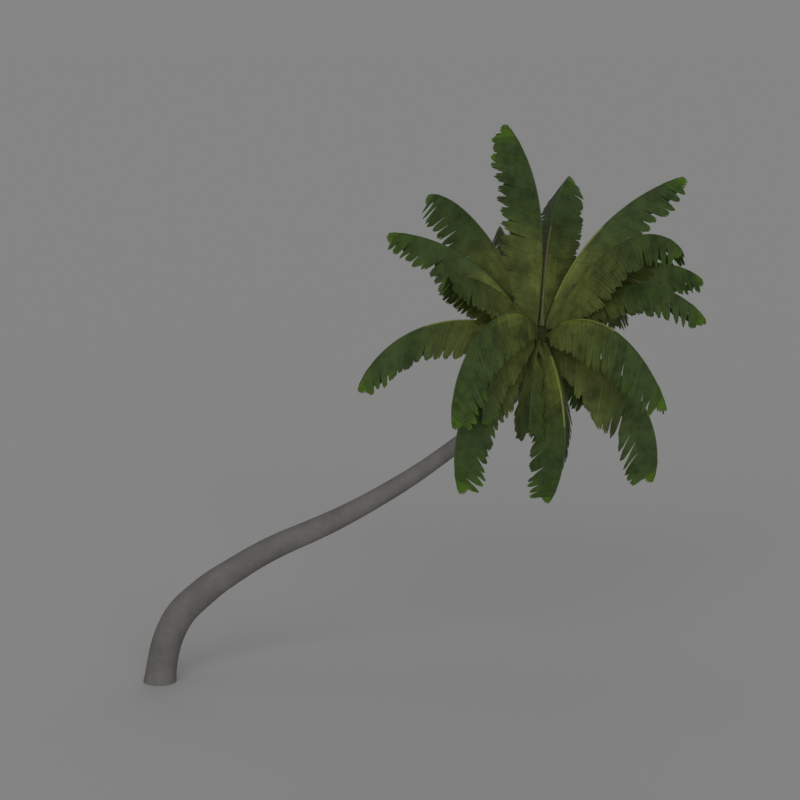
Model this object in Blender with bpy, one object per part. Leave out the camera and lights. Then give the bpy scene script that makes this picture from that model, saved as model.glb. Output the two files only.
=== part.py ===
"""A leaning coconut palm: a bare trunk, a rounded heart at its tip and a crown of feather fronds.

Metres, +Z up. The origin is the middle of the trunk's flat cut at ground level. The trunk leans
towards +X. A heading is an angle round +Z from +X towards +Y, a rise is an angle above level,
and a lean is an angle from upright, all in degrees.
"""

import math

import bmesh
import bpy
import numpy as np
from mathutils import Vector
from mathutils.bvhtree import BVHTree

COLLECTION_NAME = "coconut_palm"
UP = Vector((0.0, 0.0, 1.0))
# Touching pieces keep this gap
CLEARANCE = 0.0004

# Trunk, from the ground up: distance along it, lean, diameter
TRUNK_HEADING = -6.0
TRUNK_STATIONS = (
    (0.0, 6.5, 0.74),
    (0.25, 8.5, 0.70),
    (0.5, 10.0, 0.69),
    (1.0, 18.5, 0.68),
    (1.5, 30.5, 0.67),
    (2.0, 47.0, 0.65),
    (2.5, 49.5, 0.63),
    (3.0, 56.5, 0.60),
    (3.6, 57.0, 0.57),
    (4.9, 65.5, 0.51),
    (5.6, 64.5, 0.49),
    (7.0, 58.5, 0.42),
    (8.4, 53.0, 0.36),
    (9.2, 52.5, 0.345),
    (10.2, 45.5, 0.34),
    (11.3, 27.0, 0.35),
    (12.1, 14.5, 0.38),
)
TRUNK_LENGTH = 11.9
TRUNK_RINGS = 42
TRUNK_SIDES = 20
# The tube starts under the ground and ends past the tip, and flat cuts take both ends off
TRUNK_SPARE = 0.12
TRUNK_STEP = 0.05

# Heart: a ball round the trunk's axis, cut flat where it stands on the trunk's tip
HEART_CENTRE = 12.1
HEART_RADIUS = 0.27
HEART_SEGMENTS = 20
HEART_RINGS = 12

# Fronds: name, heading, swing of that heading towards the tip, rise at the base, rise at the
# tip, how late the rib bends (over 1 is later), length with the end leaflets, the seat's rise
# on the heart, the length of the longest leaflets, how steeply they fold down on both sides, and
# how much longer than that the innermost ones are
FRONDS = (
    ("frond_01", 167, 0, 95, 50, 2.10, 4.52, 72, 1.02, 62, 1.00),
    ("frond_02", 17, 4, 75, 14, 0.98, 4.76, 64, 0.88, 62, 1.00),
    ("frond_03", -169, 4, 22, -69, 1.35, 4.43, 22, 0.86, 62, 1.10),
    ("frond_04", 139, -26, 61, -9, 1.45, 5.16, 54, 1.05, 62, 1.00),
    ("frond_05", -77, 19, -14, -133, 0.84, 4.12, -12, 1.10, 60, 1.05),
    ("frond_06", -39, 7, -6, -108, 1.42, 4.40, -4, 1.18, 62, 1.10),
    ("frond_07", 157, -12, 62, -3, 0.97, 4.28, 30, 0.86, 62, 1.35),
    ("frond_08", 75, -4, 85, 11, 1.16, 4.28, 66, 0.95, 50, 1.00),
    ("frond_09", -118, -24, 52, -98, 0.87, 4.68, 38, 1.05, 62, 1.00),
    ("frond_10", -59, 6, 44, -62, 0.82, 4.62, 14, 1.04, 62, 1.00),
    ("frond_11", -35, -10, 50, -43, 1.25, 4.45, 26, 0.80, 62, 1.00),
    ("frond_12", -31, -32, 57, -34, 1.95, 4.80, 50, 1.00, 62, 1.30),
    ("frond_13", 19, 6, 58, -36, 1.12, 4.38, 30, 0.90, 62, 1.00),
    ("frond_14", -135, -9, -2, -110, 1.04, 4.36, -8, 1.06, 62, 1.10),
    ("frond_15", -124, -4, 12, -86, 0.95, 2.90, 10, 0.62, 62, 1.00),
    ("frond_16", -142, 22, 46, 4, 1.00, 3.40, 60, 0.86, 62, 1.00),
    ("frond_17", -101, 0, -14, -86, 0.90, 2.40, -4, 1.00, 58, 1.00),
    ("frond_18", 108, -14, 51, 4, 1.05, 4.20, 40, 1.00, 62, 1.00),
    ("frond_19", 44, 0, 42, -16, 1.00, 4.10, 34, 1.00, 62, 1.00),
    ("frond_20", 60, -8, 34, -34, 1.00, 4.00, 14, 0.90, 62, 1.00),
    ("frond_21", 90, 0, 34, -34, 1.00, 4.30, 14, 1.00, 62, 1.00),
    ("frond_22", 120, -2, 42, -14, 1.00, 4.00, 14, 1.00, 62, 1.00),
    ("frond_23", 62, 0, 6, -72, 0.85, 3.30, -10, 0.90, 62, 1.00),
    ("frond_24", 86, 0, 4, -76, 1.00, 3.80, -14, 0.90, 62, 1.00),
    ("frond_25", 119, 0, 8, -74, 1.00, 3.70, -10, 1.00, 62, 1.00),
)
# A frond whose rib turns down by more than this is made in two pieces, inner and outer
SPLIT_TURN = 85.0
SPLIT_AT = 0.45

# Rib: a four-sided tapering tube
PETIOLE_SHARE = 0.08
RIB_TIP_SHARE = 0.93
RIB_WIDTH_BASE = 0.090
RIB_WIDTH_TIP = 0.016
RIB_HEIGHT_BASE = 0.060
RIB_HEIGHT_TIP = 0.016
# Under 1, so that the rib thins quickly near its base
RIB_TAPER = 0.7
RIB_STEPS = 48

# Leaflets: a pair for each length of rib
LEAFLET_PAIRS = 14
LEAFLET_THICKNESS = 0.012
LEAFLET_ANGLE_BASE = 66.0
LEAFLET_ANGLE_TIP = 50.0
LEAFLET_SAG = 0.22
LEAFLET_BELLY = 0.62
# Shares of the room between neighbours that a leaflet takes up
LEAFLET_BELLY_WIDTH = 0.90
LEAFLET_TIP_WIDTH = 0.52
# Share of the full leaflet length, by distance along the rib
LEAFLET_LENGTHS = (
    (0.0, 0.42),
    (0.10, 0.70),
    (0.26, 1.04),
    (0.42, 1.06),
    (0.62, 0.98),
    (0.78, 0.90),
    (0.88, 0.70),
    (1.0, 0.40),
)
# How much of a frond's extra inner length a leaflet has, by distance along the rib
INNER_SHARES = ((0.30, 1.0), (0.55, 0.0))
# The blade that ends a frond, from the rib's tip on: its widest place and its tip's edge
END_BELLY_SHARE = 0.972
END_BELLY_WIDTH = 0.14
END_TIP_WIDTH = 0.10
# A leaflet that would touch another limb is tried at these shares of its length, then left out
LEAFLET_TRIES = (1.0, 0.8, 0.6, 0.4)
# A trial leaflet is this much thicker, and meets its own frond's others only past this share
TRIAL_THICKNESS = 0.008
TRIAL_FROM_OWN = 0.15

BARK_COLOUR = (0.27, 0.25, 0.24, 1.0)
HEART_COLOUR = (0.16, 0.17, 0.05, 1.0)
FOLIAGE_COLOUR = (0.06, 0.13, 0.03, 1.0)


def direction(heading, rise):
    """Unit vector at a heading and a rise."""
    level = math.cos(math.radians(rise))
    return Vector((
        level * math.cos(math.radians(heading)),
        level * math.sin(math.radians(heading)),
        math.sin(math.radians(rise)),
    ))


def along(stations, column, distance):
    """A column of a table read at a distance, straight between its rows."""
    return float(np.interp(distance, [row[0] for row in stations], [row[column] for row in stations]))


def make_material(name, colour, roughness):
    material = bpy.data.materials.new(name)
    material.use_nodes = True
    shader = material.node_tree.nodes["Principled BSDF"]
    shader.inputs["Base Color"].default_value = colour
    shader.inputs["Roughness"].default_value = roughness
    shader.inputs["Metallic"].default_value = 0.0
    return material


def add_object(name, bm, collection, material):
    """Turn a bmesh into a named object with one material."""
    bmesh.ops.recalc_face_normals(bm, faces=bm.faces)
    mesh = bpy.data.meshes.new(name)
    bm.to_mesh(mesh)
    bm.free()
    mesh.materials.append(material)
    item = bpy.data.objects.new(name, mesh)
    collection.objects.link(item)
    return item


# Trunk

def trunk_point(distance):
    """Point and direction of the trunk's axis at a distance along it."""
    steps = max(2, int(abs(distance) / TRUNK_STEP))
    point = Vector((0.0, 0.0, 0.0))
    for step in range(steps):
        lean = along(TRUNK_STATIONS, 1, distance * (step + 0.5) / steps)
        point += direction(TRUNK_HEADING, 90.0 - lean) * distance / steps
    return point, direction(TRUNK_HEADING, 90.0 - along(TRUNK_STATIONS, 1, distance))


def cut_flat(bm, point, normal):
    """Remove what lies behind a plane and close the cut with one flat face."""
    everything = bm.verts[:] + bm.edges[:] + bm.faces[:]
    cut = bmesh.ops.bisect_plane(bm, geom=everything, plane_co=point, plane_no=normal, clear_inner=True)
    rim = [edge for edge in cut["geom_cut"] if isinstance(edge, bmesh.types.BMEdge)]
    bmesh.ops.contextual_create(bm, geom=rim)


def make_trunk(collection, material):
    """A tube on a poly curve with its taper, cut flat at ground level and at its tip."""
    curve = bpy.data.curves.new("trunk", "CURVE")
    curve.dimensions = "3D"
    curve.bevel_depth = 1.0
    curve.bevel_resolution = (TRUNK_SIDES - 4) // 2
    curve.use_fill_caps = True
    spline = curve.splines.new("POLY")
    distances = [TRUNK_LENGTH * ring / TRUNK_RINGS for ring in range(TRUNK_RINGS + 1)]
    distances = [-TRUNK_SPARE] + distances + [TRUNK_LENGTH + TRUNK_SPARE]
    spline.points.add(len(distances) - 1)
    for spot, distance in zip(spline.points, distances):
        spot.co = (*trunk_point(distance)[0], 1.0)
        spot.radius = along(TRUNK_STATIONS, 2, distance) / 2
    tube = bpy.data.objects.new("trunk_curve", curve)
    collection.objects.link(tube)
    mesh = bpy.data.meshes.new_from_object(tube.evaluated_get(bpy.context.evaluated_depsgraph_get()))
    bpy.data.objects.remove(tube)

    bm = bmesh.new()
    bm.from_mesh(mesh)
    bmesh.ops.remove_doubles(bm, verts=bm.verts, dist=CLEARANCE)
    cut_flat(bm, Vector(), UP)
    tip, tip_axis = trunk_point(TRUNK_LENGTH)
    cut_flat(bm, tip, -tip_axis)
    tree = BVHTree.FromBMesh(bm)
    return add_object("trunk", bm, collection, material), tree


# Heart

def make_heart(collection, material):
    """A ball cut flat where it stands on the trunk's tip."""
    centre, axis = trunk_point(HEART_CENTRE)
    seat, seat_axis = trunk_point(TRUNK_LENGTH)
    bm = bmesh.new()
    bmesh.ops.create_uvsphere(bm, u_segments=HEART_SEGMENTS, v_segments=HEART_RINGS, radius=HEART_RADIUS)
    bmesh.ops.rotate(bm, verts=bm.verts, matrix=UP.rotation_difference(axis).to_matrix())
    bmesh.ops.translate(bm, verts=bm.verts, vec=centre)
    cut_flat(bm, seat + seat_axis * CLEARANCE, seat_axis)
    tree = BVHTree.FromBMesh(bm)
    return add_object("crown_heart", bm, collection, material), tree


# Fronds

class Frond:
    """One frond's rib: where it runs, and the frame of directions along it."""

    def __init__(self, row):
        self.name, self.heading, self.swing, self.rise, self.fall = row[:5]
        self.bend, self.length, self.seat, self.leaf, self.fold, self.inner = row[5:]
        self.seat_normal = direction(self.heading, self.seat)
        self.base = trunk_point(HEART_CENTRE)[0] + self.seat_normal * (HEART_RADIUS + CLEARANCE)

    def frame(self, share):
        """Directions at a share of the length: along the rib, to its left, and up from it."""
        heading = self.heading + self.swing * share
        rise = self.rise + (self.fall - self.rise) * share ** self.bend
        ahead = direction(heading, rise)
        left = direction(heading + 90.0, 0.0)
        return ahead, left, ahead.cross(left)

    def point(self, share):
        """Point on the rib's middle line at a share of its length."""
        point = self.base.copy()
        for step in range(RIB_STEPS):
            point += self.frame(share * (step + 0.5) / RIB_STEPS)[0] * self.length * share / RIB_STEPS
        return point

    def shares(self):
        """Shares of the length at which the rib has a ring: the seat, then each pair's ends."""
        pairs = np.linspace(PETIOLE_SHARE, RIB_TIP_SHARE, LEAFLET_PAIRS + 1)
        return [0.0] + [float(share) for share in pairs]

    def ring(self, share, ahead_gap=0.0):
        """Four corners of the rib: upper left, upper right, lower right, lower left."""
        ahead, left, upward = self.frame(share)
        taper = share ** RIB_TAPER
        half_width = (RIB_WIDTH_BASE + (RIB_WIDTH_TIP - RIB_WIDTH_BASE) * taper) / 2
        half_height = (RIB_HEIGHT_BASE + (RIB_HEIGHT_TIP - RIB_HEIGHT_BASE) * taper) / 2
        middle = self.point(share) + ahead * ahead_gap
        corners = []
        for side, lift in ((1, 1), (-1, 1), (-1, -1), (1, -1)):
            corner = middle + left * side * half_width + upward * lift * half_height
            if share == 0.0:
                # The first ring lies in the plane that touches the heart at the seat
                corner -= ahead * (corner - middle).dot(self.seat_normal) / ahead.dot(self.seat_normal)
            corners.append(corner)
        return corners

    def reach(self, share):
        """Length of a leaflet that grows at a share of the rib."""
        extra = (self.inner - 1.0) * along(INNER_SHARES, 1, share)
        return self.leaf * along(LEAFLET_LENGTHS, 1, share) * (1.0 + extra)

    def blade_line(self, share, side, reach):
        """Belly, tip and facing of a leaflet that grows at one share of the rib."""
        ahead, left, upward = self.frame(share)
        fold = math.radians(self.fold)
        angle = math.radians(LEAFLET_ANGLE_BASE + (LEAFLET_ANGLE_TIP - LEAFLET_ANGLE_BASE) * share)
        outward = left * side * math.cos(fold) - upward * math.sin(fold)
        face = left * side * math.sin(fold) + upward * math.cos(fold)
        run = ahead * math.cos(angle) + outward * math.sin(angle)
        belly = self.point(share) + run * reach * LEAFLET_BELLY
        end_run = (run - UP * LEAFLET_SAG).normalized()
        return belly, belly + end_run * reach * (1 - LEAFLET_BELLY), face

    def leaflet(self, start, end, side, stretch, extra=0.0):
        """Sections of one leaflet between two shares: two four-cornered ones and the tip's edge."""
        share = (start + end) / 2
        reach = self.reach(share) * stretch
        belly, tip, face = self.blade_line(share, side, reach)
        first_belly, first_tip, _ = self.blade_line(start, side, reach)
        last_belly, last_tip, _ = self.blade_line(end, side, reach)
        half_belly = (last_belly - first_belly) * LEAFLET_BELLY_WIDTH / 2
        half_tip = (last_tip - first_tip) * LEAFLET_TIP_WIDTH / 2
        half_thickness = (LEAFLET_THICKNESS + extra) / 2
        belly_ring = [
            belly - half_belly + face * half_thickness,
            belly - half_belly - face * half_thickness,
            belly + half_belly - face * half_thickness,
            belly + half_belly + face * half_thickness,
        ]
        return belly_ring, [tip - half_tip, tip + half_tip]

    def end_blade(self, extra=0.0):
        """Sections of the blade that ends the frond, in a leaflet's order."""
        _, left, upward = self.frame(END_BELLY_SHARE)
        belly, tip = self.point(END_BELLY_SHARE), self.point(1.0)
        half_belly = left * END_BELLY_WIDTH / 2
        half_tip = left * END_TIP_WIDTH / 2
        half_thickness = upward * (LEAFLET_THICKNESS + extra) / 2
        belly_ring = [
            belly + half_belly + half_thickness,
            belly + half_belly - half_thickness,
            belly - half_belly - half_thickness,
            belly - half_belly + half_thickness,
        ]
        return belly_ring, [tip + half_tip, tip - half_tip]


def add_verts(bm, points):
    return [bm.verts.new(point) for point in points]


def add_leaflet(bm, root, belly, tip):
    """Skin of one leaflet: root ring to belly ring to the tip's edge, open at the root."""
    for near in range(4):
        far = (near + 1) % 4
        bm.faces.new((root[near], root[far], belly[far], belly[near]))
    bm.faces.new((belly[0], belly[1], tip[0]))
    bm.faces.new((belly[1], belly[2], tip[1], tip[0]))
    bm.faces.new((belly[2], belly[3], tip[1]))
    bm.faces.new((belly[3], belly[0], tip[0], tip[1]))


def side_corners(first, second, side):
    """The rib's side face between two rings, in a leaflet's order: top, bottom, bottom, top."""
    top, bottom = (0, 3) if side > 0 else (1, 2)
    return [first[top], first[bottom], second[bottom], second[top]]


def rib_name(name):
    return name + "_rib"


class Space:
    """What is already built, as search trees, each with the name of its owner."""

    def __init__(self):
        self.items = []

    def add(self, owner, points, tree):
        middle = sum(points, Vector()) / len(points)
        radius = max((point - middle).length for point in points)
        self.items.append((owner, middle, radius, tree))

    def clashes(self, owner, points, trials):
        """Whether a trial leaflet meets anything but its own rib.

        trials[True] is its shape against its own frond, and trials[False] against the rest.
        """
        middle = sum(points, Vector()) / len(points)
        radius = max((point - middle).length for point in points)
        for other, other_middle, other_radius, tree in self.items:
            if other == rib_name(owner) or (other_middle - middle).length > radius + other_radius:
                continue
            if trials[other == owner].overlap(tree):
                return True
        return False


def leaflet_solid(root, belly, tip, start=0.0):
    """Search tree of a leaflet, closed at a share of the way from its root to its belly."""
    bm = bmesh.new()
    ring = add_verts(bm, [near.lerp(far, start) for near, far in zip(root, belly)])
    add_leaflet(bm, ring, add_verts(bm, belly), add_verts(bm, tip))
    bm.faces.new(reversed(ring))
    tree = BVHTree.FromBMesh(bm)
    bm.free()
    return tree


def place_leaflet(frond, space, first, second, start, end, side):
    """The longest leaflet that fits between two rings, or None."""
    root = side_corners(first, second, side)
    for stretch in LEAFLET_TRIES:
        belly, tip = frond.leaflet(start, end, side, stretch, TRIAL_THICKNESS)
        trials = {
            True: leaflet_solid(root, belly, tip, TRIAL_FROM_OWN),
            False: leaflet_solid(root, belly, tip),
        }
        if not space.clashes(frond.name, root + belly + tip, trials):
            belly, tip = frond.leaflet(start, end, side, stretch)
            space.add(frond.name, root + belly + tip, leaflet_solid(root, belly, tip))
            return belly, tip
    return None


def end_root(ring):
    """The rib's last ring in a leaflet's order."""
    return [ring[0], ring[3], ring[2], ring[1]]


def place_end_blade(frond, space):
    """The blade that ends a frond, or None where it would touch another limb."""
    root = end_root(frond.ring(RIB_TIP_SHARE))
    belly, tip = frond.end_blade(TRIAL_THICKNESS)
    solid = leaflet_solid(root, belly, tip)
    if space.clashes(frond.name, root + belly + tip, {True: solid, False: solid}):
        return None
    belly, tip = frond.end_blade()
    space.add(frond.name, root + belly + tip, leaflet_solid(root, belly, tip))
    return belly, tip


def rib_solid(rings):
    """Search tree of a bare rib."""
    bm = bmesh.new()
    rows = [add_verts(bm, ring) for ring in rings]
    for near_row, far_row in zip(rows, rows[1:]):
        for near in range(4):
            far = (near + 1) % 4
            bm.faces.new((near_row[near], near_row[far], far_row[far], far_row[near]))
    tree = BVHTree.FromBMesh(bm)
    bm.free()
    return tree


def make_piece(name, frond, shares, blades, first_gap, collection, material):
    """One piece of a frond: the rib between its rings, with its leaflets grown from its sides."""
    bm = bmesh.new()
    rows = []
    for share in shares:
        gap = first_gap if share == shares[0] else 0.0
        rows.append(add_verts(bm, frond.ring(share, gap)))
    for start, end, near_row, far_row in zip(shares, shares[1:], rows, rows[1:]):
        bm.faces.new((near_row[0], near_row[1], far_row[1], far_row[0]))
        bm.faces.new((near_row[2], near_row[3], far_row[3], far_row[2]))
        for side in (1, -1):
            root = side_corners(near_row, far_row, side)
            blade = blades.get((start, end, side))
            if blade is None:
                bm.faces.new(root)
            else:
                add_leaflet(bm, root, add_verts(bm, blade[0]), add_verts(bm, blade[1]))
    bm.faces.new(rows[0])
    end_blade = blades.get(shares[-1])
    if end_blade is None:
        bm.faces.new(rows[-1])
    else:
        add_leaflet(bm, end_root(rows[-1]), add_verts(bm, end_blade[0]), add_verts(bm, end_blade[1]))
    return add_object(name, bm, collection, material)


def make_fronds(collection, material, space):
    """Place all ribs first, so that no leaflet touches one, then each frond's leaflets in turn."""
    fronds = [Frond(row) for row in FRONDS]
    for frond in fronds:
        rings = [frond.ring(share) for share in frond.shares()]
        for near_ring, far_ring in zip(rings, rings[1:]):
            space.add(rib_name(frond.name), near_ring + far_ring, rib_solid([near_ring, far_ring]))
    for frond in fronds:
        shares = frond.shares()
        blades = {shares[-1]: place_end_blade(frond, space)}
        for start, end in zip(shares[1:], shares[2:]):
            for side in (1, -1):
                first, second = frond.ring(start), frond.ring(end)
                blades[start, end, side] = place_leaflet(frond, space, first, second, start, end, side)
        if abs(frond.rise - frond.fall) > SPLIT_TURN:
            cut = min(range(len(shares)), key=lambda index: abs(shares[index] - SPLIT_AT))
            make_piece(frond.name + "_inner", frond, shares[:cut + 1], blades, 0.0, collection, material)
            make_piece(frond.name + "_outer", frond, shares[cut:], blades, CLEARANCE, collection, material)
        else:
            make_piece(frond.name, frond, shares, blades, 0.0, collection, material)


def main():
    for item in list(bpy.data.objects):
        bpy.data.objects.remove(item, do_unlink=True)
    collection = bpy.data.collections.new(COLLECTION_NAME)
    bpy.context.scene.collection.children.link(collection)
    bark = make_material("bark", BARK_COLOUR, 0.85)
    leaf_base = make_material("leaf_base", HEART_COLOUR, 0.8)
    foliage = make_material("foliage", FOLIAGE_COLOUR, 0.55)

    space = Space()
    trunk, trunk_tree = make_trunk(collection, bark)
    heart, heart_tree = make_heart(collection, leaf_base)
    for item, tree in ((trunk, trunk_tree), (heart, heart_tree)):
        space.add(item.name, [vertex.co for vertex in item.data.vertices], tree)
    make_fronds(collection, foliage, space)


main()
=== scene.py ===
"""The looks of a leaning coconut palm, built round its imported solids.

Metres, +Z up, with the origin in the middle of the trunk's flat cut at ground level. A heading is
an angle round +Z from +X towards +Y, a rise is an angle above level, and a lean is an angle from
upright, all in degrees. A share is a part of a frond's length, from 0 at its seat on the heart.
"""

import math

import bpy
import numpy as np
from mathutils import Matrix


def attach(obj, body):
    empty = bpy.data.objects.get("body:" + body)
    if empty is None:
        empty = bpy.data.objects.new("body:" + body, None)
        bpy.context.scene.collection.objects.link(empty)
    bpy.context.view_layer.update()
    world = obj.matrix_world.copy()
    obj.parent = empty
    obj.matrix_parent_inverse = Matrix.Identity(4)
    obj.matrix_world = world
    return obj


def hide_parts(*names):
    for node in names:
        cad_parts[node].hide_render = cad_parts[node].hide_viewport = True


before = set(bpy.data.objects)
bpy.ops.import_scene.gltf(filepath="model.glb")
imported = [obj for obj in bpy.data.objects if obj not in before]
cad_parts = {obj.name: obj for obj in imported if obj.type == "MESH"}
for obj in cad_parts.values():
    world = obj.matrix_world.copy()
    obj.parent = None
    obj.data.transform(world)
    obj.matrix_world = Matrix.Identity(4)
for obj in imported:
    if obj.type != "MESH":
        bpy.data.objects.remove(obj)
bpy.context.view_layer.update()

SEED = 7

# The tree's own sizes, as its solids have them

TRUNK_HEADING = -6.0
# Distance along the trunk, lean, diameter
TRUNK_STATIONS = (
    (0.0, 6.5, 0.74),
    (0.25, 8.5, 0.70),
    (0.5, 10.0, 0.69),
    (1.0, 18.5, 0.68),
    (1.5, 30.5, 0.67),
    (2.0, 47.0, 0.65),
    (2.5, 49.5, 0.63),
    (3.0, 56.5, 0.60),
    (3.6, 57.0, 0.57),
    (4.9, 65.5, 0.51),
    (5.6, 64.5, 0.49),
    (7.0, 58.5, 0.42),
    (8.4, 53.0, 0.36),
    (9.2, 52.5, 0.345),
    (10.2, 45.5, 0.34),
    (11.3, 27.0, 0.35),
    (12.1, 14.5, 0.38),
)
TRUNK_LENGTH = 11.9
HEART_CENTRE = 12.1
HEART_RADIUS = 0.27

# Name, heading, swing, rise at the base and at the tip, bend, length, seat's rise, leaflet length,
# fold, inner leaflets' length over that
FRONDS = (
    ("frond_01", 167, 0, 95, 50, 2.10, 4.52, 72, 1.02, 62, 1.00),
    ("frond_02", 17, 4, 75, 14, 0.98, 4.76, 64, 0.88, 62, 1.00),
    ("frond_03", -169, 4, 22, -69, 1.35, 4.43, 22, 0.86, 62, 1.10),
    ("frond_04", 139, -26, 61, -9, 1.45, 5.16, 54, 1.05, 62, 1.00),
    ("frond_05", -77, 19, -14, -133, 0.84, 4.12, -12, 1.10, 60, 1.05),
    ("frond_06", -39, 7, -6, -108, 1.42, 4.40, -4, 1.18, 62, 1.10),
    ("frond_07", 157, -12, 62, -3, 0.97, 4.28, 30, 0.86, 62, 1.35),
    ("frond_08", 75, -4, 85, 11, 1.16, 4.28, 66, 0.95, 50, 1.00),
    ("frond_09", -118, -24, 52, -98, 0.87, 4.68, 38, 1.05, 62, 1.00),
    ("frond_10", -59, 6, 44, -62, 0.82, 4.62, 14, 1.04, 62, 1.00),
    ("frond_11", -35, -10, 50, -43, 1.25, 4.45, 26, 0.80, 62, 1.00),
    ("frond_12", -31, -32, 57, -34, 1.95, 4.80, 50, 1.00, 62, 1.30),
    ("frond_13", 19, 6, 58, -36, 1.12, 4.38, 30, 0.90, 62, 1.00),
    ("frond_14", -135, -9, -2, -110, 1.04, 4.36, -8, 1.06, 62, 1.10),
    ("frond_15", -124, -4, 12, -86, 0.95, 2.90, 10, 0.62, 62, 1.00),
    ("frond_16", -142, 22, 46, 4, 1.00, 3.40, 60, 0.86, 62, 1.00),
    ("frond_17", -101, 0, -14, -86, 0.90, 2.40, -4, 1.00, 58, 1.00),
    ("frond_18", 108, -14, 51, 4, 1.05, 4.20, 40, 1.00, 62, 1.00),
    ("frond_19", 44, 0, 42, -16, 1.00, 4.10, 34, 1.00, 62, 1.00),
    ("frond_20", 60, -8, 34, -34, 1.00, 4.00, 14, 0.90, 62, 1.00),
    ("frond_21", 90, 0, 34, -34, 1.00, 4.30, 14, 1.00, 62, 1.00),
    ("frond_22", 120, -2, 42, -14, 1.00, 4.00, 14, 1.00, 62, 1.00),
    ("frond_23", 62, 0, 6, -72, 0.85, 3.30, -10, 0.90, 62, 1.00),
    ("frond_24", 86, 0, 4, -76, 1.00, 3.80, -14, 0.90, 62, 1.00),
    ("frond_25", 119, 0, 8, -74, 1.00, 3.70, -10, 1.00, 62, 1.00),
)
# Fronds whose greens are nearer the heart's olive (below 0), partly the fronds' own olive and partly
# painted light: the paler greens lift the shade on fronds deep in the crown and at its back. And how ragged
# their leaflets end, where not 0 and 1
LOOKS = {
    "frond_02": (-0.5, 0.8),
    "frond_03": (-0.7, 0.8),
    "frond_05": (-0.5, 0.9),
    "frond_06": (-0.8, 1.1),
    "frond_07": (-0.4, 1.0),
    "frond_08": (-0.3, 0.3),
    "frond_10": (-0.8, 0.9),
    "frond_11": (-0.8, 1.0),
    "frond_12": (-1.7, 1.0),
    "frond_13": (-1.0, 1.0),
    "frond_14": (0.5, 0.9),
    "frond_15": (-2.5, 0.7),
    "frond_16": (-2.5, 1.0),
    "frond_17": (-2.2, 0.4),
    "frond_18": (-1.5, 1.0),
    "frond_19": (-1.5, 1.0),
    "frond_20": (-1.5, 1.0),
    "frond_22": (-1.5, 1.0),
    "frond_23": (-2.5, 1.0),
    "frond_24": (-2.5, 1.0),
}
PETIOLE_SHARE = 0.08
RIB_TIP_SHARE = 0.93
RIB_WIDTH_BASE = 0.090
RIB_WIDTH_TIP = 0.016
RIB_HEIGHT_BASE = 0.060
RIB_HEIGHT_TIP = 0.016
RIB_TAPER = 0.7
LEAFLET_PAIRS = 14
LEAFLET_ANGLE_BASE = 66.0
LEAFLET_ANGLE_TIP = 50.0
LEAFLET_SAG = 0.22
LEAFLET_BELLY = 0.62
LEAFLET_TIP_WIDTH = 0.52
LEAFLET_LENGTHS = (
    (0.0, 0.42),
    (0.10, 0.70),
    (0.26, 1.04),
    (0.42, 1.06),
    (0.62, 0.98),
    (0.78, 0.90),
    (0.88, 0.70),
    (1.0, 0.40),
)
INNER_SHARES = ((0.30, 1.0), (0.55, 0.0))
LEAFLET_TRIES = (1.0, 0.8, 0.6, 0.4)

# The finer leaflets that take each solid leaflet's place

SPRAY = 10
BLADE_WIDTH = 0.050
BLADE_MIDRIB = 0.0020
BLADE_PINCH = 0.20
# Places along a leaflet where it has a cross-section, and its width there as a share of the widest
BLADE_STATIONS = (0.0, 0.14, 0.34, 0.56, 0.76, 0.90, 0.97, 1.0)
BLADE_WIDTHS = ((0.0, 0.50), (0.14, 0.92), (0.34, 1.0), (0.76, 1.0), (0.90, 0.88), (0.97, 0.58))
# How far the tips of a spray draw together, as a share of its width, and how much its sides fall short
SPRAY_JOIN = ((0.0, 0.05), (0.45, 0.14), (0.70, 0.24), (0.85, 0.38), (1.0, 0.44))
SPRAY_ROUND = 0.12
SPRAY_SWAY = 1.6
BASE_SHARES = (0.012, 0.046, 0.08)
# Towards a frond's end the leaflets are shorter by up to this share, from one place on over a span
END_SHORTENING = 0.10
SHORTER_FROM = 0.74
SHORTER_SPAN = 0.15
# A fan of leaflets closes each frond's end
END_BLADES = 12
END_WIDTH = 0.048
END_SPREAD = 0.24
END_ROUND = 0.024
END_NOSE = 0.42
FRONDS_A_PIECE = 5


def direction(heading, rise):
    """Unit vectors at headings and rises, one row each."""
    heading, rise = np.broadcast_arrays(np.radians(heading), np.radians(rise))
    level = np.cos(rise)
    return np.stack([level * np.cos(heading), level * np.sin(heading), np.sin(rise)], axis=-1)


def along(stations, column, distance):
    """A column of a table read at distances, straight between its rows."""
    table = np.array(stations, float)
    return np.interp(distance, table[:, 0], table[:, column])


def unit(vectors):
    return vectors / np.maximum(np.linalg.norm(vectors, axis=-1, keepdims=True), 1e-12)


def mix(first, second, share):
    return first + (second - first) * share


# Materials

def linear(red, green, blue):
    """A colour given as screen values from 0 to 255, as a shader's base colour."""
    return tuple(((value / 255 + 0.055) / 1.055) ** 2.4 if value > 10 else value / 3294.6
                 for value in (red, green, blue)) + (1.0,)


# Shades that a colour is multiplied by
WHITE = (1.0, 1.0, 1.0, 1.0)
LEAF_SPOT_AND_SHADOW = (0.55, 0.60, 0.62, 1.0)
BARK_CRACK = (0.80, 0.79, 0.78, 1.0)
BARK_BELOW_PAINTED_LIFT = (0.80, 0.80, 0.80, 1.0)


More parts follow.
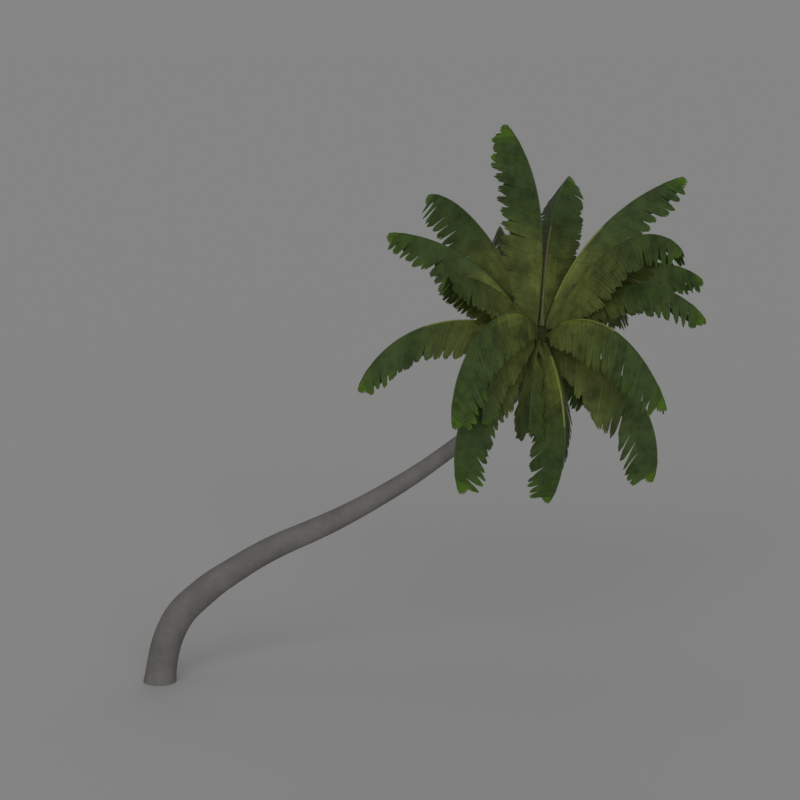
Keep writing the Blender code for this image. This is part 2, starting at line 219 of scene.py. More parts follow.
class Nodes:
    """A material's node tree, with short ways to add and join nodes."""

    def __init__(self, name, colour, roughness, specular=0.5):
        self.material = bpy.data.materials.new(name)
        self.material.use_nodes = True
        self.tree = self.material.node_tree
        self.shader = self.tree.nodes["Principled BSDF"]
        self.shader.inputs["Base Color"].default_value = colour
        self.shader.inputs["Roughness"].default_value = roughness
        self.shader.inputs["Specular IOR Level"].default_value = specular

    def add(self, kind, inputs=None, **settings):
        node = self.tree.nodes.new(kind)
        for key, value in settings.items():
            setattr(node, key, value)
        for key, value in (inputs or {}).items():
            if isinstance(value, bpy.types.NodeSocket):
                self.tree.links.new(value, node.inputs[key])
            else:
                node.inputs[key].default_value = value
        return node

    def place(self, scale):
        """The point on the object, stretched by a scale along each axis."""
        where = self.add("ShaderNodeTexCoord").outputs["Object"]
        return self.add("ShaderNodeMapping", {"Vector": where, "Scale": scale}).outputs["Vector"]

    def noise(self, where, scale, detail, roughness=0.5):
        """A noise texture's grey value at a point."""
        inputs = {"Vector": where, "Scale": scale, "Detail": detail, "Roughness": roughness}
        return self.add("ShaderNodeTexNoise", inputs).outputs["Fac"]

    def ramp(self, factor, stops):
        node = self.add("ShaderNodeValToRGB", {"Fac": factor})
        stops_now = node.color_ramp.elements
        while len(stops_now) < len(stops):
            stops_now.new(0.5)
        for element, (position, colour) in zip(stops_now, stops):
            element.position = position
            element.color = colour
        return node.outputs["Color"]

    def multiply(self, first, second, factor):
        """One colour times another, as far as the factor says."""
        node = self.add("ShaderNodeMix", data_type="RGBA", blend_type="MULTIPLY")
        node.inputs["Factor"].default_value = factor
        self.tree.links.new(first, node.inputs["A"])
        self.tree.links.new(second, node.inputs["B"])
        return node.outputs["Result"]

    def bump(self, height, strength, distance):
        inputs = {"Height": height, "Strength": strength, "Distance": distance}
        return self.add("ShaderNodeBump", inputs).outputs["Normal"]

    def join(self, socket, name):
        self.tree.links.new(socket, self.shader.inputs[name])


def shade(colour, factor):
    return tuple(min(1.0, value * factor) for value in colour[:3]) + (1.0,)


def leaf_material(name, colour, roughness):
    """Leaf skin: one plain green, with broad darker patches and small dark spots, partly random mottle and
    partly painted shadow of leaflets, and fine veins.
    """
    nodes = Nodes(name, colour, roughness, 0.15)
    place = nodes.place((1, 1, 1))
    tones = [(0.34, shade(colour, 0.62)), (0.50, colour), (0.66, shade(colour, 1.20))]
    # Broad patches and small bluish dark spots: random mottle, and partly painted shadow of leaflets
    broad = nodes.ramp(nodes.noise(place, 2.4, 7.0, 0.66), tones)
    fine = nodes.ramp(nodes.noise(place, 4.5, 7.0, 0.72), [(0.32, LEAF_SPOT_AND_SHADOW), (0.50, WHITE)])
    nodes.join(nodes.multiply(broad, fine, 0.8), "Base Color")
    nodes.join(nodes.bump(nodes.noise(place, 160.0, 2.0), 0.25, 0.002), "Normal")
    return nodes.material


def rib_material(name, colour):
    """Waxy rib skin with pale patches."""
    nodes = Nodes(name, colour, 0.42, 0.4)
    streaks = nodes.noise(nodes.place((1, 1, 1)), 26.0, 5.0)
    tones = [(0.35, shade(colour, 0.78)), (0.68, shade(colour, 1.2))]
    nodes.join(nodes.ramp(streaks, tones), "Base Color")
    nodes.join(nodes.bump(streaks, 0.3, 0.004), "Normal")
    return nodes.material


# Heights between which the bark turns paler: painted light that lifts the shade the crown casts on the
# upper trunk
BARK_SHADE_LIFT_FROM = 4.5
BARK_SHADE_LIFT_TO = 5.6


def bark_material():
    """Grey bark: weathered patches, fine cracks, and paler higher up, painted light that offsets the
    crown's shade on the upper trunk.
    """
    pale = linear(148, 146, 142)
    dark = linear(126, 124, 121)
    nodes = Nodes("bark_grey", pale, 0.88, 0.2)
    place = nodes.place((1, 1, 1))
    tones = [(0.32, dark), (0.50, linear(138, 136, 133)), (0.68, pale)]
    broad = nodes.ramp(nodes.noise(place, 1.6, 8.0, 0.65), tones)
    grain = nodes.noise(place, 34.0, 6.0)
    fine = nodes.ramp(grain, [(0.30, BARK_CRACK), (0.62, WHITE)])
    # Darker below these heights and paler above them: painted light against the crown's shade
    where = nodes.add("ShaderNodeSeparateXYZ", {"Vector": place})
    height = nodes.add("ShaderNodeMapRange", {"Value": where.outputs["Z"]})
    height.inputs["From Min"].default_value = BARK_SHADE_LIFT_FROM
    height.inputs["From Max"].default_value = BARK_SHADE_LIFT_TO
    rise = nodes.ramp(height.outputs["Result"], [(0.0, BARK_BELOW_PAINTED_LIFT), (1.0, WHITE)])
    nodes.join(nodes.multiply(nodes.multiply(broad, fine, 0.8), rise, 1.0), "Base Color")
    nodes.join(nodes.bump(grain, 0.5, 0.006), "Normal")
    return nodes.material


def fibre_material(name, colour):
    """Woven olive-brown fibre round the leaf bases."""
    nodes = Nodes(name, colour, 0.9, 0.2)
    threads = nodes.noise(nodes.place((1, 1, 0.12)), 90.0, 4.0)
    tones = [(0.32, shade(colour, 0.45)), (0.66, shade(colour, 1.3))]
    nodes.join(nodes.ramp(threads, tones), "Base Color")
    nodes.join(nodes.bump(threads, 0.8, 0.006), "Normal")
    return nodes.material


# Meshes

def mesh_object(name, points, quads, materials, kinds=None, smooth=False):
    """A mesh from arrays: points, four-cornered faces (three where the last two are the same)."""
    points = np.asarray(points, np.float32).reshape(-1, 3)
    quads = np.asarray(quads, np.int32).reshape(-1, 4)
    triangles = quads[:, 2] == quads[:, 3]
    sizes = np.where(triangles, 3, 4).astype(np.int32)
    keep = np.ones(quads.shape, bool)
    keep[:, 3] = ~triangles
    mesh = bpy.data.meshes.new(name)
    mesh.vertices.add(len(points))
    mesh.vertices.foreach_set("co", points.ravel())
    mesh.loops.add(int(sizes.sum()))
    mesh.loops.foreach_set("vertex_index", quads[keep])
    mesh.polygons.add(len(quads))
    mesh.polygons.foreach_set("loop_start", np.concatenate([[0], np.cumsum(sizes)[:-1]]).astype(np.int32))
    mesh.polygons.foreach_set("loop_total", sizes)
    for material in materials:
        mesh.materials.append(material)
    if kinds is not None:
        mesh.polygons.foreach_set("material_index", np.asarray(kinds, np.int32))
    mesh.polygons.foreach_set("use_smooth", np.full(len(quads), smooth))
    mesh.update(calc_edges=True)
    mesh.validate()
    item = bpy.data.objects.new(name, mesh)
    bpy.context.scene.collection.objects.link(item)
    return item


def tube_faces(sections, corners, first=0):
    """Faces of a closed tube of rings of corners, its ends left open."""
    ring = np.arange(corners)
    following = (ring + 1) % corners
    near = first + np.arange(sections - 1)[:, None] * corners
    return np.stack([near + ring, near + following, near + corners + following, near + corners + ring],
                    axis=-1).reshape(-1, 4)


def fan(ring, centre):
    """Faces that close a ring of points with one middle point."""
    following = np.roll(ring, -1)
    middle = np.full(len(ring), centre)
    return np.stack([ring, following, middle, middle], axis=-1)


def dress(item, slot, *nodes):
    """The calls that every piece of the tree needs."""
    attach(item, "root")
    if nodes:
        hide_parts(*nodes)
    return item


# Trunk

def trunk_axis(distances):
    """Points and directions of the trunk's axis at distances along it."""
    fine = np.linspace(0.0, HEART_CENTRE + 0.3, 1200)
    middles = (fine[1:] + fine[:-1]) / 2
    ahead = direction(TRUNK_HEADING, 90.0 - along(TRUNK_STATIONS, 1, middles))
    steps = np.diff(fine)[:, None] * ahead
    points = np.concatenate([np.zeros((1, 3)), np.cumsum(steps, axis=0)])
    spots = np.stack([np.interp(distances, fine, points[:, axis]) for axis in range(3)], axis=-1)
    return spots, direction(TRUNK_HEADING, 90.0 - along(TRUNK_STATIONS, 1, distances))


def waves(angle, distance, random, count, turns, pitch):
    """Smooth unevenness over the trunk: a sum of seeded waves round it and along it, from -1 to 1."""
    total = np.zeros(np.broadcast(angle, distance).shape)
    for _ in range(count):
        round_it = random.integers(1, turns + 1)
        length = random.uniform(0.5, 1.6) * pitch
        total += np.sin(round_it * angle + 2 * np.pi * distance / length + random.uniform(0, 2 * np.pi))
    return total / math.sqrt(count) / 1.6


TRUNK_SIDES = 88
TRUNK_RINGS = 800
SCAR_PITCH_FOOT = 0.050
SCAR_PITCH_TOP = 0.085
SCAR_DEPTH = 0.0045
CRACK_DEPTH = 0.0035


def make_trunk():
    """The trunk's skin, with ring scars where old fronds fell, upright cracks and slight swellings."""
    random = np.random.default_rng(SEED)
    distance = np.linspace(0.0, TRUNK_LENGTH, TRUNK_RINGS)[:, None]
    angle = np.linspace(0.0, 2 * np.pi, TRUNK_SIDES, endpoint=False)[None, :]
    spots, ahead = trunk_axis(distance[:, 0])
    across = unit(np.cross(ahead, (0.0, 1.0, 0.0)))
    over = np.cross(ahead, across)
    radius = along(TRUNK_STATIONS, 2, distance) / 2

    # Scar count grows along the trunk, faster at the foot, where the pitch is less
    pitch = mix(SCAR_PITCH_FOOT, SCAR_PITCH_TOP, distance / TRUNK_LENGTH)
    count = np.cumsum(np.gradient(distance[:, 0]) / pitch[:, 0])[:, None]
    tilt = 0.20 * np.sin(angle + 2.4 * distance) + 0.35 * waves(angle, distance, random, 5, 3, 2.2)
    phase = (count + tilt) % 1.0
    lip = np.exp(-((phase - 0.12) / 0.07) ** 2) - 0.8 * np.exp(-((phase - 0.30) / 0.10) ** 2)
    worn = np.clip(0.55 + 0.6 * waves(angle, distance, random, 6, 5, 1.1), 0.1, 1.0)
    crack = np.clip(waves(angle * 3.0, distance * 0.8, random, 8, 9, 0.9) - 0.35, 0.0, 1.0)
    relief = SCAR_DEPTH * lip * worn - CRACK_DEPTH * crack
    relief += 0.006 * waves(angle, distance, random, 6, 3, 2.6)
    ends = np.clip(np.minimum(distance / 0.10, (TRUNK_LENGTH - distance) / 0.10), 0.0, 1.0)
    radius = radius + (relief - 0.004) * ends

    outward = np.cos(angle)[..., None] * across[:, None, :] + np.sin(angle)[..., None] * over[:, None, :]
    points = spots[:, None, :] + radius[..., None] * outward
    # The lowest rings are slid along the trunk until the first lies level on the ground
    share = np.clip(1.0 - distance / 0.30, 0.0, 1.0)
    slide = (points[..., 2] - spots[:, None, 2]) / ahead[:, None, 2] * share
    points -= ahead[:, None, :] * slide[..., None]
    points = points.reshape(-1, 3)
    faces = tube_faces(TRUNK_RINGS, TRUNK_SIDES)
    rings = np.arange(TRUNK_RINGS * TRUNK_SIDES).reshape(TRUNK_RINGS, TRUNK_SIDES)
    points = np.concatenate([points, [[0.0, 0.0, 0.0]], [spots[-1]]])
    foot = fan(rings[0][::-1], len(points) - 2)
    top = fan(rings[-1], len(points) - 1)
    faces = np.concatenate([faces, foot, top])
    item = mesh_object("trunk_bark", points, faces, [bark_material()], smooth=True)
    return dress(item, "bark", "trunk")


# Fronds

class Frond:
    """One frond's rib: where it runs, and the frame of directions along it."""

    FINE = 400

    def __init__(self, row):
        self.name, self.heading, self.swing, self.rise, self.fall = row[:5]
        self.bend, self.length, self.seat, self.leaf, self.fold, self.inner = row[5:]
        self.tone, self.ragged = LOOKS.get(self.name, (0.0, 1.0))
        self.seat_normal = direction(self.heading, self.seat)
        self.base = trunk_axis(np.array([HEART_CENTRE]))[0][0] + self.seat_normal * HEART_RADIUS
        self.grid = np.linspace(0.0, 1.0, self.FINE + 1)
        middles = (self.grid[1:] + self.grid[:-1]) / 2
        steps = self.frame(middles)[0] * self.length / self.FINE
        self.points = self.base + np.concatenate([np.zeros((1, 3)), np.cumsum(steps, axis=0)])
        self.nodes = sorted(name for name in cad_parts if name.startswith(self.name))

    def frame(self, share):
        """Directions at shares of the length: along the rib, to its left, and up from it."""
        heading = self.heading + self.swing * share
        rise = self.rise + (self.fall - self.rise) * share ** self.bend
        ahead = direction(heading, rise)
        left = direction(heading + 90.0, 0.0 * rise)
        return ahead, left, np.cross(ahead, left)

    def point(self, share):
        return np.stack([np.interp(share, self.grid, self.points[:, axis]) for axis in range(3)], axis=-1)

    def half_sizes(self, share):
        taper = share ** RIB_TAPER
        width = mix(RIB_WIDTH_BASE, RIB_WIDTH_TIP, taper)
        height = mix(RIB_HEIGHT_BASE, RIB_HEIGHT_TIP, taper)
        return width / 2, height / 2

    def reach(self, share):
        """Lengths of leaflets that grow at shares of the rib."""
        extra = (self.inner - 1.0) * along(INNER_SHARES, 1, share)
        return self.leaf * along(LEAFLET_LENGTHS, 1, share) * (1.0 + extra)

    def run(self, share, side):
        """Directions of leaflets: out along the leaflet, and up from its face."""
        ahead, left, upward = self.frame(share)
        fold = math.radians(self.fold)
        angle = np.radians(mix(LEAFLET_ANGLE_BASE, LEAFLET_ANGLE_TIP, share))[..., None]
        side = np.asarray(side)[..., None]
        outward = left * side * math.cos(fold) - upward * math.sin(fold)
        face = left * side * math.sin(fold) + upward * math.cos(fold)
        return ahead * np.cos(angle) + outward * np.sin(angle), face

    def solid_tip(self, start, end, side, stretch):
        """The first corner of the tip of a solid leaflet between two shares."""
        shares = np.array([start, (start + end) / 2, end])
        reach = self.reach(shares[1]) * stretch
        run, _ = self.run(shares, side)
        end_run = unit(run - np.array([0.0, 0.0, LEAFLET_SAG]))
        tips = self.point(shares) + run * reach * LEAFLET_BELLY + end_run * reach * (1 - LEAFLET_BELLY)
        return tips[1] - (tips[2] - tips[0]) * LEAFLET_TIP_WIDTH / 2

    def sprays(self):
        """Start, end, side and length share of each solid leaflet, as the frame's own solids have them."""
        corners = np.concatenate([
            np.array([vertex.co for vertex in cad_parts[name].data.vertices]) for name in self.nodes
        ])
        shares = np.linspace(PETIOLE_SHARE, RIB_TIP_SHARE, LEAFLET_PAIRS + 1)
        found = []
        for start, end in zip(shares, shares[1:]):
            for side in (1, -1):
                for stretch in LEAFLET_TRIES:
                    tip = self.solid_tip(start, end, side, stretch)
                    if np.linalg.norm(corners - tip, axis=1).min() < 0.004:
                        found.append((start, end, side, stretch))
                        break
        return found


def blades(line, sideways, face, width, roll):
    """Points and faces of thin folded blades along middle lines, one blade to a row."""
    count = len(line)
    forward = unit(np.gradient(line, axis=1))
    across = sideways - forward * np.sum(sideways * forward, axis=-1, keepdims=True)
    across = unit(across)
    upright = np.cross(forward, across)
    across = across * np.sign(np.sum(upright * face, axis=-1, keepdims=True))
    upright = np.cross(forward, across)
    roll = roll[:, None, None]
    across, upright = (across * np.cos(roll) + upright * np.sin(roll),
                       upright * np.cos(roll) - across * np.sin(roll))

    half = width[:, None] / 2 * along(BLADE_WIDTHS, 1, np.array(BLADE_STATIONS[:-1]))[None, :]
    half = half[..., None]
    body, across, upright = line[:, :-1], across[:, :-1], upright[:, :-1]
    drop = upright * half * BLADE_PINCH
    thick = upright * BLADE_MIDRIB
    rings = np.stack([body + across * half - drop, body + thick, body - across * half - drop, body - thick],
                     axis=2)
    sections = len(BLADE_STATIONS) - 1
    per_blade = sections * 4 + 1
    points = np.concatenate([rings.reshape(count, -1, 3), line[:, -1:, :]], axis=1)
    last_ring = np.arange(4) + (sections - 1) * 4
    faces = np.concatenate([tube_faces(sections, 4), fan(last_ring, per_blade - 1), [[3, 2, 1, 0]]])
    faces = faces[None] + (np.arange(count) * per_blade)[:, None, None]
    return points.reshape(-1, 3), faces.reshape(-1, 4)


BLADE_FACES = (len(BLADE_STATIONS) - 2) * 4 + 4 + 1
# Where along a blade each of its faces lies, the faces of its root last
BLADE_FACE_PLACES = np.concatenate([
    np.repeat(BLADE_STATIONS[:-2], 4), np.full(4, BLADE_STATIONS[-2]), [0.0]
])


def side_leaflets(frond, random):
    """The fine leaflets on both sides of one rib."""
    sprays = np.array(frond.sprays() + [
        (start, end, side, 1.0) for start, end in zip(BASE_SHARES, BASE_SHARES[1:]) for side in (1, -1)
    ])
    start, end, side, stretch = (np.repeat(sprays[:, column], SPRAY) for column in range(4))
    count = len(start)
    place = np.tile((np.arange(SPRAY) + 0.5) / SPRAY, len(sprays))
    share = mix(start, end, place)
    middle = (start + end) / 2
    run, face = frond.run(share, side)
    ahead, left, _ = frond.frame(share)
    half_width = frond.half_sizes(share)[0]

    uneven = np.repeat(random.uniform(0.91, 1.02, len(sprays)), SPRAY)
    shorter = np.clip((share - SHORTER_FROM) / SHORTER_SPAN, 0.0, 1.0)
    uneven = uneven * (1.0 - END_SHORTENING * shorter)
    notch = np.repeat(random.uniform(0.2, 1.8, len(sprays)), SPRAY) * frond.ragged
    reach = frond.reach(share) * stretch * uneven
    rounding = 1.0 - SPRAY_ROUND * notch * np.abs(2 * place - 1) ** 2.2
    reach = reach * rounding * random.uniform(0.97, 1.01, count)
    sway = np.repeat(random.normal(0.0, SPRAY_SWAY * frond.ragged, len(sprays)), SPRAY)
    turn = np.radians(sway + random.normal(0.0, 0.7, count))[:, None]
    run = unit(run * np.cos(turn) + ahead * np.sin(turn) + face * random.normal(0.0, 0.008, count)[:, None])

    # The middle line, from inside the rib out to the tip, bending down under its own weight
    station = np.array(BLADE_STATIONS)
    spray_weight = np.repeat(random.uniform(0.8, 1.3, len(sprays)), SPRAY)
    heavy = (LEAFLET_SAG * spray_weight * random.uniform(0.93, 1.07, count))[:, None]
    bend = np.clip((station[1:] + station[:-1]) / 2 / 0.75, 0.0, 1.0) ** 1.6
    steps = run[:, None, :] - np.array([0.0, 0.0, 1.0]) * (heavy * bend)[..., None]
    steps = unit(steps) * (reach[:, None] * np.diff(station))[..., None]
    root = frond.point(share) + left * (side * half_width * 0.55)[:, None]
    line = np.concatenate([root[:, None, :], root[:, None, :] + np.cumsum(steps, axis=1)], axis=1)
    pull = (middle - share) * frond.length * along(SPRAY_JOIN, 1, share) * notch
    line = line + ahead[:, None, :] * (pull[:, None] * station ** 1.8)[..., None]

    width = BLADE_WIDTH * random.uniform(0.95, 1.05, count) * np.clip(reach / 0.7, 0.7, 1.05)
    roll = np.radians(random.normal(6.0, 1.5, count) * side)
    points, faces = blades(line, ahead[:, None, :], face[:, None, :], width, roll)
    shift = np.repeat(random.normal(0.0, 1.0, len(sprays)), SPRAY)
    return points, faces, leaf_kinds(share, shift, frond.tone, random)


def end_leaflets(frond, random):
    """The last leaflets, a round fan that hangs to both sides of the rib's end."""
    lateral = np.linspace(-1.0, 1.0, END_BLADES)
    station = np.array(BLADE_STATIONS)
    first = RIB_TIP_SHARE - 0.06 + 0.03 * np.abs(lateral)
    nose = (np.abs(lateral) - END_NOSE) / (1.0 - END_NOSE)
    last = 1.0 - END_ROUND * nose ** 2 - random.uniform(0.0, 0.003, END_BLADES)
    share = mix(first[:, None], last[:, None], station)
    _, left, upward = frond.frame(share)
    side = np.sign(lateral)[:, None, None]
    fold = math.radians(frond.fold)
    outward = left * side * math.cos(fold) - upward * math.sin(fold)
    face = left * side * math.sin(fold) + upward * math.cos(fold)
    off = np.abs(lateral)[:, None] * END_SPREAD * np.sin(np.pi / 2 * station)
    line = frond.point(share) + outward * off[..., None]
    width = np.full(END_BLADES, END_WIDTH)
    points, faces = blades(line, outward, face, width, np.zeros(END_BLADES))
    return points, faces, leaf_kinds(np.full(END_BLADES, 1.0), np.zeros(END_BLADES), frond.tone, random)


# Greens by where a leaflet stands on its frond, from the heart out
LEAF_COLOURS = (
    # leaf_pale_streak_and_lift: the streaks' pale olive, and painted light where a frond's tone reaches it
    # to lift shade
    ("leaf_pale_streak_and_lift", linear(105, 115, 58)),
    ("leaf_heart", linear(94, 104, 53)),
    ("leaf_inner", linear(90, 102, 50)),
    ("leaf_olive", linear(82, 96, 49)),
    ("leaf_moss", linear(75, 92, 47)),
    ("leaf_green", linear(70, 88, 45)),
    ("leaf_dark", linear(66, 84, 44)),
    ("leaf_fresh", linear(70, 93, 40)),
    ("leaf_tip", linear(82, 112, 33)),
    ("leaf_streak", linear(114, 126, 57)),
)
# Places in the list above by share of the frond
LEAF_LEVELS = ((0.05, 1.2), (0.24, 1.2), (0.38, 2.8), (0.50, 4.4), (0.60, 5.6), (0.85, 6.2))
PALE_LEVEL = 0
DARK_LEVEL = 6
FRESH_LEVEL = 7
TIP_LEVEL = 8
STREAK_LEVEL = 9
# Shares of the frond beyond which whole leaflets, or only their ends, turn to the greens of the tip
FRESH_FROM = 0.82
TIP_FROM = 0.93
FRESH_ENDS_FROM = 0.64
BRIGHT_ENDS_FROM = 0.80
# The pale streaks along the ribs: their middle and half length as shares of the frond, how far out on
# a leaflet the bright and the pale part go, and how strong a streak is at its middle and for each part
STREAK_MIDDLE = 0.25
STREAK_SPAN = 0.15
STREAK_BRIGHT = 0.1
STREAK_PALE = 0.3
STREAK_PEAK = 1.15
STREAK_WEAK = 0.25
STREAK_STRONG = 0.65
# How much nearer its ends a frond with a tone below 0 turns to the fresh greens
TONE_REACH = 0.06


def leaf_kinds(share, spray_shift, tone, random):
    """Colour number of each face of each blade: by its place on the frond and the frond's tone, which is
    partly painted light that lifts shade, some sprays a shade off.
    """
    count = len(share)
    # A tone below 0 moves a frond to paler greens; on fronds in the crown's shade this is painted light
    level = along(LEAF_LEVELS, 1, share) + tone + 0.45 * spray_shift + random.normal(0.0, 0.25, count)
    place = share + TONE_REACH * tone
    kinds = np.clip(np.round(level), 0, DARK_LEVEL)
    kinds = np.where(place > FRESH_FROM + 0.05 * spray_shift, FRESH_LEVEL, kinds)
    kinds = np.where(place > TIP_FROM + 0.02 * spray_shift, TIP_LEVEL, kinds)
    faces = np.repeat(kinds[:, None], BLADE_FACES, axis=1)
    fresh_place = (place > FRESH_ENDS_FROM + 0.10 * spray_shift)[:, None]
    fresh_ends = (BLADE_FACE_PLACES[None, :] > 0.7) & fresh_place
    faces = np.where(fresh_ends & (faces < FRESH_LEVEL), FRESH_LEVEL, faces)
    bright_place = (place > BRIGHT_ENDS_FROM + 0.05 * spray_shift)[:, None]
    bright_ends = (BLADE_FACE_PLACES[None, :] > 0.85) & bright_place
    faces = np.where(bright_ends, TIP_LEVEL, faces)
    strength = STREAK_PEAK - np.abs(share - STREAK_MIDDLE) / STREAK_SPAN + random.normal(0.0, 0.08, count)
    weak = (strength > STREAK_WEAK)[:, None]
    strong = (strength > STREAK_STRONG)[:, None]
    bright = BLADE_FACE_PLACES[None, :] < STREAK_BRIGHT
    pale = BLADE_FACE_PLACES[None, :] < STREAK_PALE
    faces = np.where((bright & weak) | (pale & strong), PALE_LEVEL, faces)
    return np.where(bright & strong, STREAK_LEVEL, faces).astype(int).ravel()


RIB_SECTIONS = 56
RIB_CORNERS = 10
RIB_COLOURS = (
    ("rib_base", linear(94, 99, 50)),
    ("rib_inner", linear(94, 104, 50)),
    ("rib_outer", linear(68, 88, 40)),
    ("rib_yellow", linear(134, 142, 64)),
    ("rib_tan", linear(112, 108, 72)),
    ("rib_brown", linear(106, 88, 56)),
)
# Ribs that are one colour of their own between two shares
RIB_SPECIAL_FROM = 0.12
RIB_SPECIAL_TO = 0.52
RIB_KINDS = {"frond_02": 3, "frond_03": 3, "frond_05": 3, "frond_08": 4, "frond_10": 3, "frond_14": 5}


def rib(frond):
    """Points and faces of one rib: broad where it clasps the heart, grooved on top near its base."""
    share = np.linspace(0.0, 1.0, RIB_SECTIONS) ** 1.25 * (RIB_TIP_SHARE + 0.03)
    ahead, left, upward = frond.frame(share)
    half_width, half_height = frond.half_sizes(share)
    clasp = np.exp(-(share / 0.035) ** 2)
    half_width = half_width * (1.0 + 0.55 * clasp)
    groove = np.clip(1.0 - share / 0.5, 0.0, 1.0)[:, None]
    angle = np.linspace(0.0, 2 * np.pi, RIB_CORNERS, endpoint=False)[None, :]
    side_way = np.cos(angle) * half_width[:, None]
    up_way = np.sin(angle) * half_height[:, None]
    dip = 0.75 * groove * np.exp(-(np.cos(angle) / 0.45) ** 2)
    up_way = np.where(up_way > 0, up_way * (1.0 - dip), up_way)
    points = frond.point(share)[:, None, :] + left[:, None, :] * side_way[..., None]
    points = points + upward[:, None, :] * up_way[..., None]
    # The first ring lies on the heart
    lean = (points[0] - frond.base) @ frond.seat_normal / (ahead[0] @ frond.seat_normal)
    points[0] -= ahead[0] * lean[:, None]
    faces = tube_faces(RIB_SECTIONS, RIB_CORNERS)
    rings = np.arange(RIB_SECTIONS * RIB_CORNERS).reshape(RIB_SECTIONS, RIB_CORNERS)
    flat = points.reshape(-1, 3)
    flat = np.concatenate([flat, [frond.base], [frond.point(np.array([share[-1] + 0.004]))[0]]])
    faces = np.concatenate([faces, fan(rings[0][::-1], len(flat) - 2), fan(rings[-1], len(flat) - 1)])
    level = np.repeat(share[:-1], RIB_CORNERS)
    kinds = np.digitize(level, (0.12, 0.38))
    special = np.digitize(level, (RIB_SPECIAL_FROM, RIB_SPECIAL_TO)) == 1
    kinds = np.where(special, RIB_KINDS.get(frond.name, kinds), kinds)
    kinds = np.concatenate([kinds, np.zeros(RIB_CORNERS), np.full(RIB_CORNERS, 2)])
    return flat, faces, kinds


def join(parts):
    """Several meshes' points, faces and colour numbers as one."""
    points, faces, kinds, first = [], [], [], 0
    for some_points, some_faces, some_kinds in parts:
        points.append(some_points)
        faces.append(np.asarray(some_faces) + first)
        kinds.append(some_kinds)
        first += len(some_points)
    return np.concatenate(points), np.concatenate(faces), np.concatenate(kinds)


def make_fronds():
    random = np.random.default_rng(SEED + 1)
    fronds = [Frond(row) for row in FRONDS]
    greens = [leaf_material(name, colour, 0.6) for name, colour in LEAF_COLOURS]
    for first in range(0, len(fronds), FRONDS_A_PIECE):
        group = fronds[first:first + FRONDS_A_PIECE]
        points, faces, kinds = join([
            part(frond, random) for frond in group for part in (side_leaflets, end_leaflets)
        ])
        name = "leaflets_" + str(first // FRONDS_A_PIECE + 1)
        item = mesh_object(name, points, faces, greens, kinds)
        dress(item, "foliage", *[node for frond in group for node in frond.nodes])
    ribs = [rib_material(name, colour) for name, colour in RIB_COLOURS]
    points, faces, kinds = join([rib(frond) for frond in fronds])
    dress(mesh_object("ribs", points, faces, ribs, kinds, smooth=True), "foliage")
    return fronds


# Heart

def make_heart():
    """A knobbly ball of leaf bases, with fibre between them."""
    random = np.random.default_rng(SEED + 2)
    centre, axis = trunk_axis(np.array([HEART_CENTRE]))
    centre, axis = centre[0], axis[0]
    sections, corners = 40, 72
    polar = np.linspace(-0.78, 1.0, sections)[:, None] * np.pi / 2
    angle = np.linspace(0.0, 2 * np.pi, corners, endpoint=False)[None, :]
    across = unit(np.cross(axis, (0.0, 1.0, 0.0)))
    over = np.cross(axis, across)
    swell = 0.010 * np.abs(np.sin(4.0 * angle + 3.0 * polar))
    swell = swell + 0.004 * waves(angle, polar, random, 6, 9, 0.5)
    radius = HEART_RADIUS - 0.012 + swell * np.cos(polar)
    points = centre + (np.cos(polar) * np.cos(angle) * radius)[..., None] * across
    points = points + (np.cos(polar) * np.sin(angle) * radius)[..., None] * over
    points = points + (np.sin(polar) * radius)[..., None] * axis
    flat = points[:-1].reshape(-1, 3)
    sections -= 1
    rings = np.arange(sections * corners).reshape(sections, corners)
    flat = np.concatenate([flat, [flat[rings[0]].mean(axis=0)], [centre + axis * (HEART_RADIUS - 0.012)]])
    faces = np.concatenate([
        tube_faces(sections, corners), fan(rings[0][::-1], len(flat) - 2), fan(rings[-1], len(flat) - 1)
    ])
    fibre = fibre_material("fibre_brown", linear(60, 65, 31))
    item = mesh_object("heart_fibre", flat, faces, [fibre], smooth=True)
    return dress(item, "leaf_base", "crown_heart")


# Surroundings

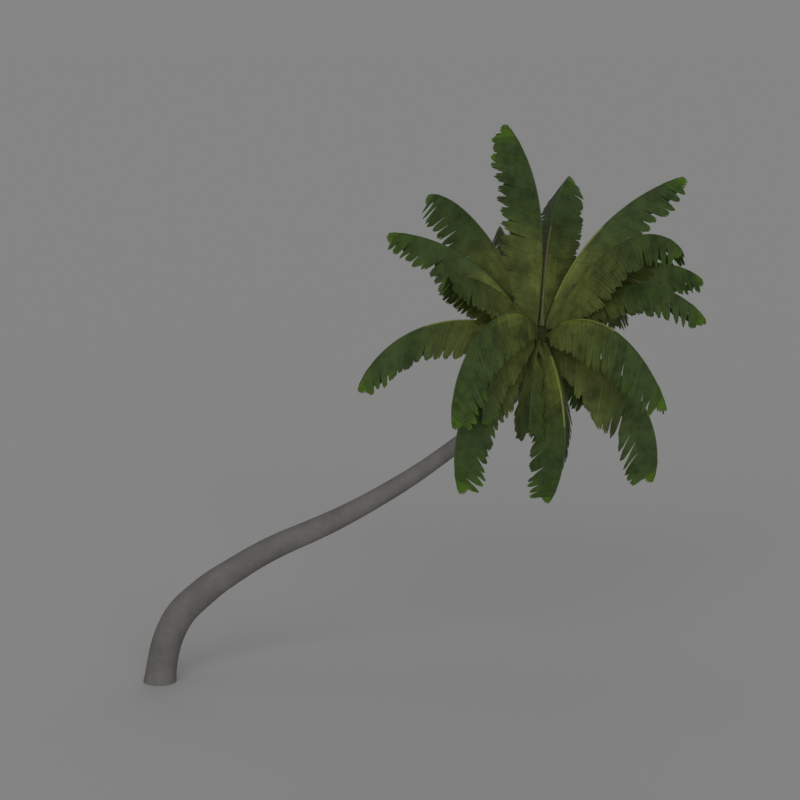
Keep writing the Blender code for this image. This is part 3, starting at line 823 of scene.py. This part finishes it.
VIEW_DOWN = 10.0
VIEW_DISTANCE = 45.0
VIEW_TARGET = (5.41, 0.0, 6.43)
# Focal length over picture width
VIEW_ZOOM = 2045.0 / 800.0
FLOOR_COLOUR = (0.590, 0.590, 0.588, 1.0)
# As bright as the lit floor looks, so that floor and sky meet unseen
SKY_COLOUR = (0.236, 0.236, 0.2345, 1.0)


def make_camera():
    camera = bpy.data.cameras.new("camera")
    camera.sensor_width = 36.0
    camera.lens = camera.sensor_width * VIEW_ZOOM
    camera.clip_end = 2000.0
    item = bpy.data.objects.new("camera", camera)
    down = math.radians(VIEW_DOWN)
    item.location = (
        VIEW_TARGET[0],
        VIEW_TARGET[1] - VIEW_DISTANCE * math.cos(down),
        VIEW_TARGET[2] + VIEW_DISTANCE * math.sin(down),
    )
    item.rotation_euler = (math.pi / 2 - down, 0.0, 0.0)
    bpy.context.scene.collection.objects.link(item)
    bpy.context.scene.camera = item


def make_sun(name, heading, rise, softness, strength):
    """A distant soft lamp that shines from a heading and rise."""
    light = bpy.data.lights.new(name, "SUN")
    light.energy = strength
    light.angle = math.radians(softness)
    item = bpy.data.objects.new(name, light)
    item.rotation_euler = (math.radians(90.0 - rise), 0.0, math.radians(heading + 90.0))
    bpy.context.scene.collection.objects.link(item)


def make_surroundings():
    """A wide pale floor, an even pale sky that lights it, and two distant soft lamps."""
    bpy.ops.mesh.primitive_plane_add(size=4000.0, location=(0.0, 0.0, 0.0))
    floor = bpy.context.object
    floor.name = "floor"
    floor.data.materials.append(Nodes("floor_pale", FLOOR_COLOUR, 1.0, 0.0).material)

    world = bpy.data.worlds.new("sky")
    bpy.context.scene.world = world
    world.use_nodes = True
    sky = world.node_tree.nodes["Background"]
    sky.inputs["Color"].default_value = SKY_COLOUR
    sky.inputs["Strength"].default_value = 1.0

    make_sun("lamp_front", -94.0, 14.0, 60.0, 1.40)
    make_sun("lamp_back", 80.0, 25.0, 60.0, 0.30)
    bpy.context.scene.view_settings.view_transform = "Standard"


make_camera()
make_surroundings()
make_trunk()
make_fronds()
make_heart()
